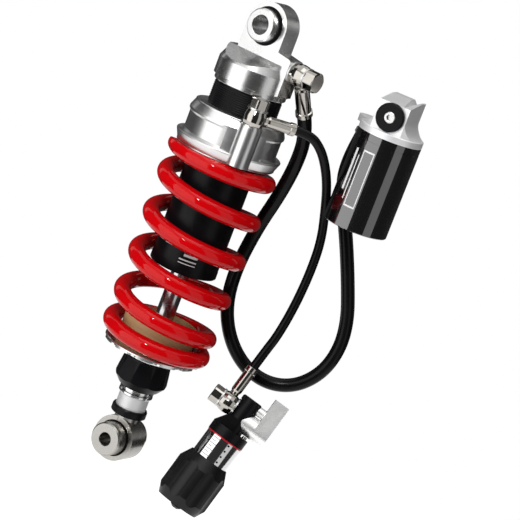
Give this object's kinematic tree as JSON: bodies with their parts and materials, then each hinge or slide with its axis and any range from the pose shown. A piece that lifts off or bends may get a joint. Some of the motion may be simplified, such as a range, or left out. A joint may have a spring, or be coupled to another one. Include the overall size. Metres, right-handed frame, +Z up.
{
  "type": "motorcycle rear shock absorber",
  "caption": "Coil-over rear shock absorber with an eye at each end, a remote oil reservoir on a hose and a remote hydraulic preload knob.",
  "frame": {"origin": "centre of the upper eye bore", "axes": "+Z up along the damper, +Y along the upper bolt towards the back, +X towards the oil port; the machine bolts on through the two eyes"},
  "size_m": [0.1536, 0.145, 0.3732],
  "materials": {
    "machined_aluminium": "satin",
    "bearing_steel": "satin",
    "spring_steel": "satin",
    "plated_fittings": "polished",
    "washer_metal": "satin",
    "hose_rubber": "gloss",
    "black_coating": "gloss",
    "black_knobs": "satin",
    "seal_rubber": "matte",
    "slide_bands": "matte",
    "inner_aluminium": "satin",
    "inner_steel": "satin",
    "chromed_rod": "mirror",
    "red_spring": "gloss",
    "red_ring": "gloss"
  },
  "bodies": {
    "damper": {"top_mount": "machined_aluminium", "coil_spring": "red_spring", "upper_bearing_race": "bearing_steel", "upper_circlips": "spring_steel", "upper_seals": "seal_rubber", "head_banjo_bolt": "plated_fittings", "head_banjo_washers": "washer_metal", "head_banjo_fitting": "plated_fittings", "reservoir_hose": "hose_rubber", "damper_tube": "black_coating", "tube_end_cap": "black_coating", "seal_head": "inner_aluminium", "rod_seal": "seal_rubber", "preload_cylinder": "machined_aluminium", "preload_banjo_bolts": "plated_fittings", "preload_banjo_washers": "washer_metal", "preload_banjo_fittings": "plated_fittings", "preload_hose": "hose_rubber", "adjuster_body": "black_coating", "adjuster_red_ring": "red_ring", "adjuster_barrel": "machined_aluminium", "adjuster_bracket": "inner_aluminium", "bracket_screw": "plated_fittings", "reservoir_cap": "machined_aluminium", "reservoir_hose_fitting": "plated_fittings", "reservoir_tube": "black_coating", "reservoir_end_cap": "black_coating", "gas_valve": "plated_fittings"},
    "upper_ball": {"upper_ball": "bearing_steel"},
    "upper_spacers": {"upper_spacers": "bearing_steel"},
    "preload_piston": {"preload_piston": "inner_aluminium", "preload_piston_seals": "seal_rubber"},
    "lower_seat": {"lower_spring_seat": "machined_aluminium", "spring_guide": "slide_bands", "bump_stop": "seal_rubber"},
    "rod": {"damper_rod": "chromed_rod", "main_piston": "inner_aluminium", "piston_band": "slide_bands", "shim_stack": "spring_steel", "piston_nut": "inner_steel", "rod_end_rings": "bearing_steel", "rod_end_sleeve": "machined_aluminium", "rod_saddle_ring": "black_knobs", "lower_eye": "bearing_steel", "lower_bearing_race": "bearing_steel", "lower_circlips": "spring_steel", "lower_seals": "seal_rubber"},
    "rebound_knob": {"rebound_knob": "black_knobs"},
    "rebound_needle": {"rebound_needle": "inner_steel"},
    "lower_ball": {"lower_ball": "bearing_steel"},
    "lower_spacers": {"lower_spacers": "bearing_steel"},
    "preload_plunger": {"preload_plunger": "inner_aluminium", "plunger_seal": "seal_rubber"},
    "preload_knob": {"preload_knob": "black_knobs", "preload_knob_screw": "black_knobs"},
    "compression_dial": {"compression_dial": "black_knobs"},
    "compression_screw": {"compression_screw": "plated_fittings"},
    "floating_piston": {"floating_piston": "inner_aluminium", "floating_piston_ring": "slide_bands"}
  },
  "joints": [
    {"name": "damper_stroke", "type": "slide", "parent": "damper", "child": "lower_seat", "axis": [0, 0, 1], "range_m": [0, 0.046], "stiffness_N_per_m": 85000, "deforming": ["coil_spring"]},
    {"name": "rod_turn", "type": "hinge", "parent": "lower_seat", "child": "rod", "pos_m": [0, 0, -0.26], "axis": [0, 0, 1], "continuous": true},
    {"name": "rebound_knob_turn", "type": "hinge", "parent": "rod", "child": "rebound_knob", "pos_m": [0, 0, -0.27], "axis": [0, 0, 1], "range_deg": [0, 1080]},
    {"name": "rebound_needle_slide", "type": "slide", "parent": "rod", "child": "rebound_needle", "axis": [0, 0, 1], "range_m": [0, 0.00151]},
    {"name": "upper_ball_tilt", "type": "hinge", "parent": "damper", "child": "upper_ball", "pos_m": [0, 0, 0], "axis": [1, 0, 0], "range_deg": [-3, 3]},
    {"name": "upper_spacer_turn", "type": "hinge", "parent": "upper_ball", "child": "upper_spacers", "pos_m": [0, 0, 0], "axis": [0, 1, 0], "continuous": true},
    {"name": "lower_ball_tilt", "type": "hinge", "parent": "rod", "child": "lower_ball", "pos_m": [0, 0, -0.322], "axis": [0.9925, 0.1219, 0], "range_deg": [-3, 3]},
    {"name": "lower_spacer_turn", "type": "hinge", "parent": "lower_ball", "child": "lower_spacers", "pos_m": [0, 0, -0.322], "axis": [-0.1219, 0.9925, 0], "continuous": true},
    {"name": "preload_plunger_slide", "type": "slide", "parent": "damper", "child": "preload_plunger", "axis": [0.0864, 0.3552, 0.9308], "range_m": [0, 0.01503]},
    {"name": "preload_knob_turn", "type": "hinge", "parent": "preload_plunger", "child": "preload_knob", "pos_m": [0.05772, 0.02598, -0.33153], "axis": [0.0864, 0.3552, 0.9308], "range_deg": [0, 3600]},
    {"name": "preload_piston_slide", "type": "slide", "parent": "damper", "child": "preload_piston", "axis": [0, 0, -1], "range_m": [0, 0.00478]},
    {"name": "compression_dial_turn", "type": "hinge", "parent": "damper", "child": "compression_dial", "pos_m": [0.09406, 0.03825, -0.0271], "axis": [0.309, -0.9511, 0], "range_deg": [-300, 0]},
    {"name": "compression_screw_turn", "type": "hinge", "parent": "damper", "child": "compression_screw", "pos_m": [0.09406, 0.03825, -0.0271], "axis": [0.309, -0.9511, 0], "range_deg": [-720, 0]},
    {"name": "floating_piston_slide", "type": "slide", "parent": "damper", "child": "floating_piston", "axis": [0, 0, -1], "range_m": [0, 0.00507]}
  ],
  "couplings": [
    {"joint": "rebound_needle_slide", "follows": "rebound_knob_turn", "m_per_rad": 0.000079577},
    {"joint": "preload_plunger_slide", "follows": "preload_knob_turn", "m_per_rad": 0.00023873},
    {"joint": "preload_piston_slide", "follows": "preload_knob_turn", "m_per_rad": 0.000075324},
    {"joint": "floating_piston_slide", "follows": "damper_stroke", "ratio": 0.10902}
  ]
}
